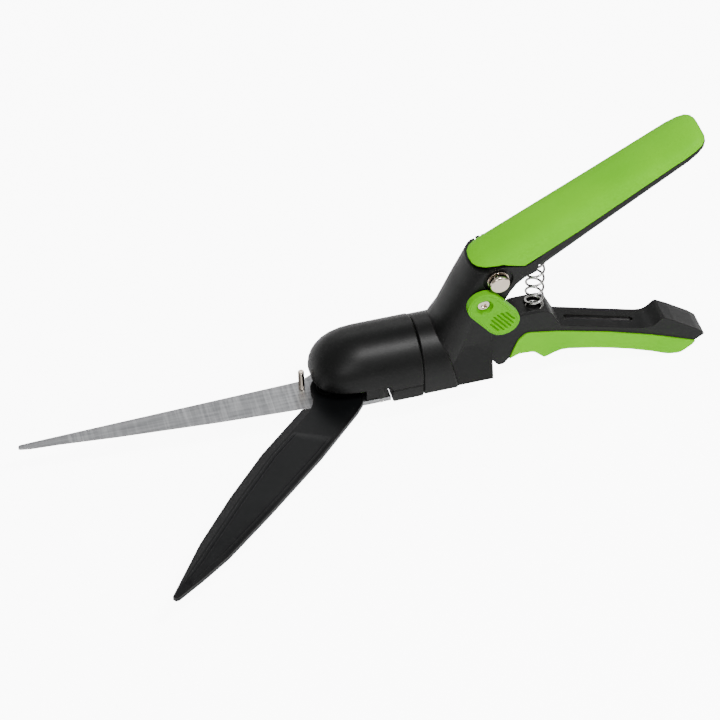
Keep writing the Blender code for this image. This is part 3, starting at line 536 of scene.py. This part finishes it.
def build_lock_screw():
    """A domed screw head with a cross-shaped recess, sunk a little into the lever."""
    centre, low, high = middle_of("lock_screw")
    centre.y = 0.0
    tip = -low.y / MM - SCREW_SINK
    tail = -high.y / MM
    shoulder = tip - SCREW_UNDERSIDE
    profile = [(0.0, tail), (SCREW_SHANK_R, tail), (SCREW_SHANK_R, shoulder),
               (SCREW_HEAD_R, shoulder), (SCREW_HEAD_R, tip - SCREW_DOME)]
    for step in range(1, 9):
        angle = math.radians(step * 10.0)
        profile.append((SCREW_HEAD_R * math.cos(angle),
                        tip - SCREW_DOME + SCREW_DOME * math.sin(angle)))
    profile.append((0.0, tip))
    screw = place_piece("lock_screw", lathe(profile, centre, TOWARDS_LEVER), smooth=40.0)
    for angle in RECESS_ANGLES:
        cutter = bmesh.new()
        bmesh.ops.create_cube(cutter, size=MM)
        bmesh.ops.scale(cutter, vec=RECESS_SIZE, verts=cutter.verts)
        for vert in cutter.verts:
            if vert.co.y > 0.0:
                vert.co.x *= RECESS_TAPER[0]
                vert.co.z *= RECESS_TAPER[1]
        bmesh.ops.rotate(cutter, cent=(0, 0, 0), verts=cutter.verts,
                         matrix=Matrix.Rotation(math.radians(angle), 3, "Y"))
        bmesh.ops.translate(cutter, vec=centre + Vector((0, -tip * MM, 0)), verts=cutter.verts)
        cut(screw, cutter)
    screw.data.set_sharp_from_angle(angle=math.radians(35.0))


# ---------------------------------------------------------------- rivet, pins and bolt

def build_rivet():
    """The trigger's rivet: a tall round head on the lever's side, a peened end on the other."""
    centre, low, high = middle_of("pivot_rivet")
    centre.y = 0.0
    tip = -low.y / MM
    tail = -high.y / MM
    shank, head, peened = 3.0, 5.0, 4.3
    head_height, curl_start, curl_height, curl = 3.5, 1.5, 1.4, 1.3
    profile = [(0.0, tail), (shank, tail), (peened - 0.4, tail + 0.4), (peened, tail + 1.0),
               (peened, tail + 1.6), (shank, tail + 1.7), (shank, tip - head_height),
               (head - 0.25, tip - head_height), (head - 0.05, tip - head_height + 0.2),
               (head, tip - 3.0), (head, tip - curl_start)]
    for step in range(1, 10):
        angle = math.radians(step * 10.0)
        profile.append((head - curl + curl * math.cos(angle),
                        tip - curl_start + curl_height * math.sin(angle)))
    profile += [(2.6, tip - 0.03), (1.2, tip), (0.0, tip)]
    place_piece("pivot_rivet", lathe(profile, centre, TOWARDS_LEVER, sides=80), smooth=50.0)


def build_stop_pin():
    centre, low, high = middle_of("stop_pin")
    centre.z = 0.0
    bottom, top = low.z / MM, high.z / MM
    stem, body, seat = 1.1, 1.55, 2.6
    profile = [(0.0, bottom), (stem - 0.1, bottom), (stem, bottom + 0.1), (stem, bottom + seat),
               (body, bottom + seat + 0.1), (body, top - 0.35), (body - 0.07, top - 0.16),
               (body - 0.25, top - 0.04), (1.05, top), (0.5, top - 0.05), (0.0, top - 0.06)]
    place_piece("stop_pin", lathe(profile, centre, (0, 0, 1), sides=48), smooth=45.0)


def build_blade_bolt():
    """The blade's pivot bolt, with a low head below and rings for its thread above."""
    centre, low, high = middle_of("blade_bolt")
    centre.z = 0.0
    bottom, top = low.z / MM, high.z / MM
    head, shank, root, chamfer = 5.1, 3.0, 2.82, 0.25
    profile = [(0.0, bottom + chamfer), (1.6, bottom + chamfer), (1.9, bottom),
               (head - 0.3, bottom), (head, bottom + chamfer), (head, bottom + 1.0),
               (shank, bottom + 1.05)]
    ring = bottom + 1.3
    while ring < top - 0.7:
        profile += [(shank, ring), (root, ring + 0.25)]
        ring += 0.5
    profile += [(2.9, top - 0.3), (2.5, top), (0.0, top)]
    place_piece("blade_bolt", lathe(profile, centre, (0, 0, 1)), smooth=35.0)


def build_toe_pin():
    centre, _, high = middle_of("toe_pin")
    centre.y = 0.0
    half = high.y / MM
    radius, chamfer = 1.5, 0.25
    profile = [(0.0, -half), (radius - chamfer, -half), (radius, chamfer - half),
               (radius, half - chamfer), (radius - chamfer, half), (0.0, half)]
    place_piece("toe_pin", lathe(profile, centre, (0, 1, 0), sides=40), smooth=40.0)


# ---------------------------------------------------------------- return spring

SPRING_WIRE = 0.58
SPRING_PLAY = 0.02
SPRING_TURNS = 8.0
SPRING_STEPS = 360
END_SHARE = 0.09
END_RISE = 0.12
END_DRAW = 0.05
END_FADE = 14


def build_spring():
    """The return spring: close end turns drawn in a little, open turns between them."""
    centre, low, high = middle_of("return_spring")
    margin = (SPRING_WIRE + SPRING_PLAY) * MM
    coil = (high.x - low.x) / 2 - margin
    bottom, top = low.z + margin, high.z - margin
    points = []
    for i in range(SPRING_STEPS + 1):
        share = i / SPRING_STEPS
        rise = min(max((share - END_SHARE) / (1 - 2 * END_SHARE), 0.0), 1.0)
        climb = END_RISE * share + (1 - END_RISE) * rise
        angle = FULL_TURN * SPRING_TURNS * share
        draw = math.exp(-share * END_FADE) + math.exp(-(1 - share) * END_FADE)
        size = coil * (1.0 - END_DRAW * draw)
        points.append(Vector((centre.x + size * math.cos(angle),
                              centre.y + size * math.sin(angle),
                              bottom + (top - bottom) * climb)))
    place_piece("return_spring", tube(points, SPRING_WIRE * MM), smooth=60.0)


# ---------------------------------------------------------------- upper blade

PANEL_ORIGIN = Vector((-9.0, -13.0, 0.0))
PANEL_FROM_ORIGIN = 15.0
PANEL_FROM_TIP = 9.0
PANEL_STEPS = 70
PANEL_SINK = 0.03
PANEL_FULL_WIDTH = 9.5
PANEL_SECTION = [(1.0, 0.0), (1.45, 0.34), (2.5, 0.36), (2.75, 0.2), (3.05, 0.2), (3.3, 0.34)]
PANEL_END_STEPS = 1.5
SLANT_SHARE = 0.12
SLANT = -0.32
TIP_INSET = Vector((0.5, 1.0, 0.0))
LEVEL_ENOUGH = 0.99
TOP_REACH = 0.1


def top_edges(node, height):
    """Edges of the CAD node's top face that belong to its border."""
    shape = cad_copy(node)
    border = []
    for edge in shape.edges:
        tops = [face for face in edge.link_faces
                if face.normal.z > LEVEL_ENOUGH
                and face.calc_center_median().z > height - TOP_REACH * MM]
        if len(tops) == 1:
            border.append((edge.verts[0].co.copy(), edge.verts[1].co.copy()))
    shape.free()
    return border


def width_at(border, origin, run, across, along):
    """How far the top face reaches to each side at a distance along the blade."""
    found = []
    for first, second in border:
        a = (first - origin).dot(run) - along
        b = (second - origin).dot(run) - along
        if a * b < 0.0:
            point = first.lerp(second, a / (a - b))
            found.append((point - origin).dot(across))
    return min(found), max(found)


def panel_profile(near, far):
    """Places across the panel in metres, each with its lift in mm, from edge to edge."""
    size = min(1.0, (far - near) / (PANEL_FULL_WIDTH * MM))
    profile = []
    for inset, lift in PANEL_SECTION:
        profile.append((near + inset * size * MM, lift))
    for inset, lift in reversed(PANEL_SECTION):
        profile.append((far - inset * size * MM, lift))
    return profile


def build_upper_blade():
    """The black blade with its pressed panel, whose border follows the blade's edges."""
    shape = cad_copy("upper_blade")
    low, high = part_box("upper_blade")
    pivot = Vector(JOINTS["blade_close"]["pos_m"])
    tip = Vector((low.x, low.y, high.z)) + TIP_INSET * MM
    origin = Vector((pivot.x, pivot.y, high.z)) + PANEL_ORIGIN * MM
    run = (tip - origin).normalized()
    across = Vector((-run.y, run.x, 0.0))
    border = top_edges("upper_blade", high.z)
    start = PANEL_FROM_ORIGIN * MM
    end = (tip - origin).length - PANEL_FROM_TIP * MM
    rows = []
    for i in range(PANEL_STEPS + 1):
        share = i / PANEL_STEPS
        along = start + (end - start) * share
        near, far = width_at(border, origin, run, across, along)
        ends = min(1.0, i / PANEL_END_STEPS, (PANEL_STEPS - i) / PANEL_END_STEPS)
        slant = max(0.0, SLANT_SHARE - share) / SLANT_SHARE * SLANT
        corners = []
        for place, lift in panel_profile(near, far):
            skew = slant * (place - (near + far) / 2)
            point = origin + run * (along + skew) + across * place
            point.z = high.z + (lift * ends - PANEL_SINK) * MM
            corners.append(shape.verts.new(point))
        rows.append(corners)
    for first, second in zip(rows, rows[1:]):
        for k in range(len(first) - 1):
            shape.faces.new((first[k], first[k + 1], second[k + 1], second[k]))
    place_piece("upper_blade", shape, smooth=14.0)


def dress_cad_nodes():
    """Finishes for the CAD nodes that no finer piece stands in for."""
    for name, node in frame["nodes"].items():
        if not node.hide_render:
            node.data.materials.clear()
            node.data.materials.append(LOOKS[SLOT_OF[name]])


# ---------------------------------------------------------------- floor, light and camera

VIEW_TURN, VIEW_RISE = math.radians(16.0), math.radians(45.0)
VIEW_BACK = Vector((-math.sin(VIEW_TURN) * math.cos(VIEW_RISE),
                    -math.cos(VIEW_TURN) * math.cos(VIEW_RISE), math.sin(VIEW_RISE)))
VIEW_DISTANCE_M = 1.3
VIEW_WIDTH_M = 0.3528
SENSOR = 36.0
VIEW_SHIFT = (-0.0743, -0.0104)

FLOOR_DROP_M = 0.0005
FLOOR_HALF_M = 3.0
FLOOR_BEND_START_M = 1.2
FLOOR_BEND_M = 0.8
FLOOR_BEND_STEPS = 12
FLOOR_GLOW = 0.3
FLOOR_GLOW_SEEN = 9.0

CARD_HALF_WIDTH_M = 0.75
CARD_HALF_HEIGHT_M = 0.6
CARD_DISTANCE_M = 1.7
CARD_SIDES = 32
SKY_STRENGTH = 0.36


def build_floor():
    """A pale sheet that curves up behind the shears."""
    low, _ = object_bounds()
    shape = bmesh.new()
    level = low.z - FLOOR_DROP_M
    profile = [(-FLOOR_HALF_M, level), (FLOOR_BEND_START_M, level)]
    for step in range(1, FLOOR_BEND_STEPS + 1):
        angle = math.radians(step * 90.0 / FLOOR_BEND_STEPS)
        profile.append((FLOOR_BEND_START_M + FLOOR_BEND_M * math.sin(angle),
                        level + FLOOR_BEND_M * (1 - math.cos(angle))))
    profile.append((FLOOR_BEND_START_M + FLOOR_BEND_M, level + FLOOR_HALF_M))
    rows = []
    for y, z in profile:
        rows.append([shape.verts.new((-FLOOR_HALF_M, y, z)),
                     shape.verts.new((FLOOR_HALF_M, y, z))])
    for first, second in zip(rows, rows[1:]):
        shape.faces.new((first[0], first[1], second[1], second[0]))
    floor = link("floor", shape)
    floor.data.shade_smooth()
    look = Look("pale_floor")
    cloud = look.noise(scale=3.0)
    look.colour(cloud, (0.93, 0.93, 0.93), (0.95, 0.95, 0.95))
    look.roughness(look.ranged(cloud, 0.3, 0.7, 0.75, 0.85))
    look.shader.inputs["Emission Color"].default_value = (1.0, 1.0, 1.0, 1.0)
    seen = look.nodes.new("ShaderNodeLightPath").outputs["Is Camera Ray"]
    glow = look.ranged(seen, 0.0, 1.0, FLOOR_GLOW, FLOOR_GLOW_SEEN)
    look.links.new(glow, look.shader.inputs["Emission Strength"])
    look.relief(look.noise(scale=400.0, detail=2.0), 0.02 * MM, strength=0.2)
    floor.data.materials.append(look.material)


def build_card():
    """A dark card behind the camera, which gives shiny faces something dark to show."""
    shape = bmesh.new()
    turn = VIEW_BACK.to_track_quat("Z", "Y").to_matrix()
    ring = []
    for i in range(CARD_SIDES):
        angle = FULL_TURN * i / CARD_SIDES
        spot = Vector((CARD_HALF_WIDTH_M * math.cos(angle),
                       CARD_HALF_HEIGHT_M * math.sin(angle), CARD_DISTANCE_M))
        ring.append(shape.verts.new(AXIS_ORIGIN + turn @ spot))
    shape.faces.new(ring)
    card = link("flag", shape)
    look = Look("dark_card")
    look.colour(look.noise(scale=8.0), (0.01, 0.01, 0.01), (0.014, 0.014, 0.014))
    card.data.materials.append(look.material)


def area_light(name, place, target, size, power):
    """A rectangular lamp; places and sizes in metres, power in watts."""
    lamp = bpy.data.lights.new(name, "AREA")
    lamp.shape = "RECTANGLE"
    lamp.size, lamp.size_y = size
    lamp.energy = power
    item = bpy.data.objects.new(name, lamp)
    item.location = place
    item.rotation_euler = (Vector(place) - Vector(target)).to_track_quat("Z", "Y").to_euler()
    bpy.context.scene.collection.objects.link(item)


def build_light():
    world = bpy.data.worlds.new("studio")
    world.use_nodes = True
    background = world.node_tree.nodes["Background"]
    background.inputs["Color"].default_value = (1.0, 1.0, 1.0, 1.0)
    background.inputs["Strength"].default_value = SKY_STRENGTH
    bpy.context.scene.world = world
    near_head = (0.0, 0.0, 0.02)
    area_light("key", (0.2, -0.42, 0.95), near_head, size=(0.26, 0.18), power=10.0)
    area_light("front", (-0.3, -0.8, 0.6), near_head, size=(0.4, 0.3), power=3.0)
    area_light("fill", (0.75, -0.7, 0.6), (0.05, 0.0, 0.05), size=(0.6, 0.5), power=2.0)
    area_light("rim", (0.1, 0.9, 0.7), (0.0, 0.0, 0.05), size=(0.9, 0.3), power=2.0)


def build_camera():
    camera = bpy.data.cameras.new("camera")
    camera.sensor_width = SENSOR
    camera.lens = SENSOR * VIEW_DISTANCE_M / VIEW_WIDTH_M
    camera.shift_x, camera.shift_y = VIEW_SHIFT
    camera.dof.use_dof = False
    item = bpy.data.objects.new("camera", camera)
    item.location = AXIS_ORIGIN + VIEW_BACK * VIEW_DISTANCE_M
    item.rotation_mode = "QUATERNION"
    item.rotation_quaternion = (-VIEW_BACK).to_track_quat("-Z", "Y")
    bpy.context.scene.collection.objects.link(item)
    bpy.context.scene.camera = item


build_skins()
build_lock()
build_lock_screw()
build_rivet()
build_stop_pin()
build_blade_bolt()
build_toe_pin()
build_spring()
build_upper_blade()
dress_cad_nodes()
build_floor()
build_card()
build_light()
build_camera()

bpy.context.view_layer.update()
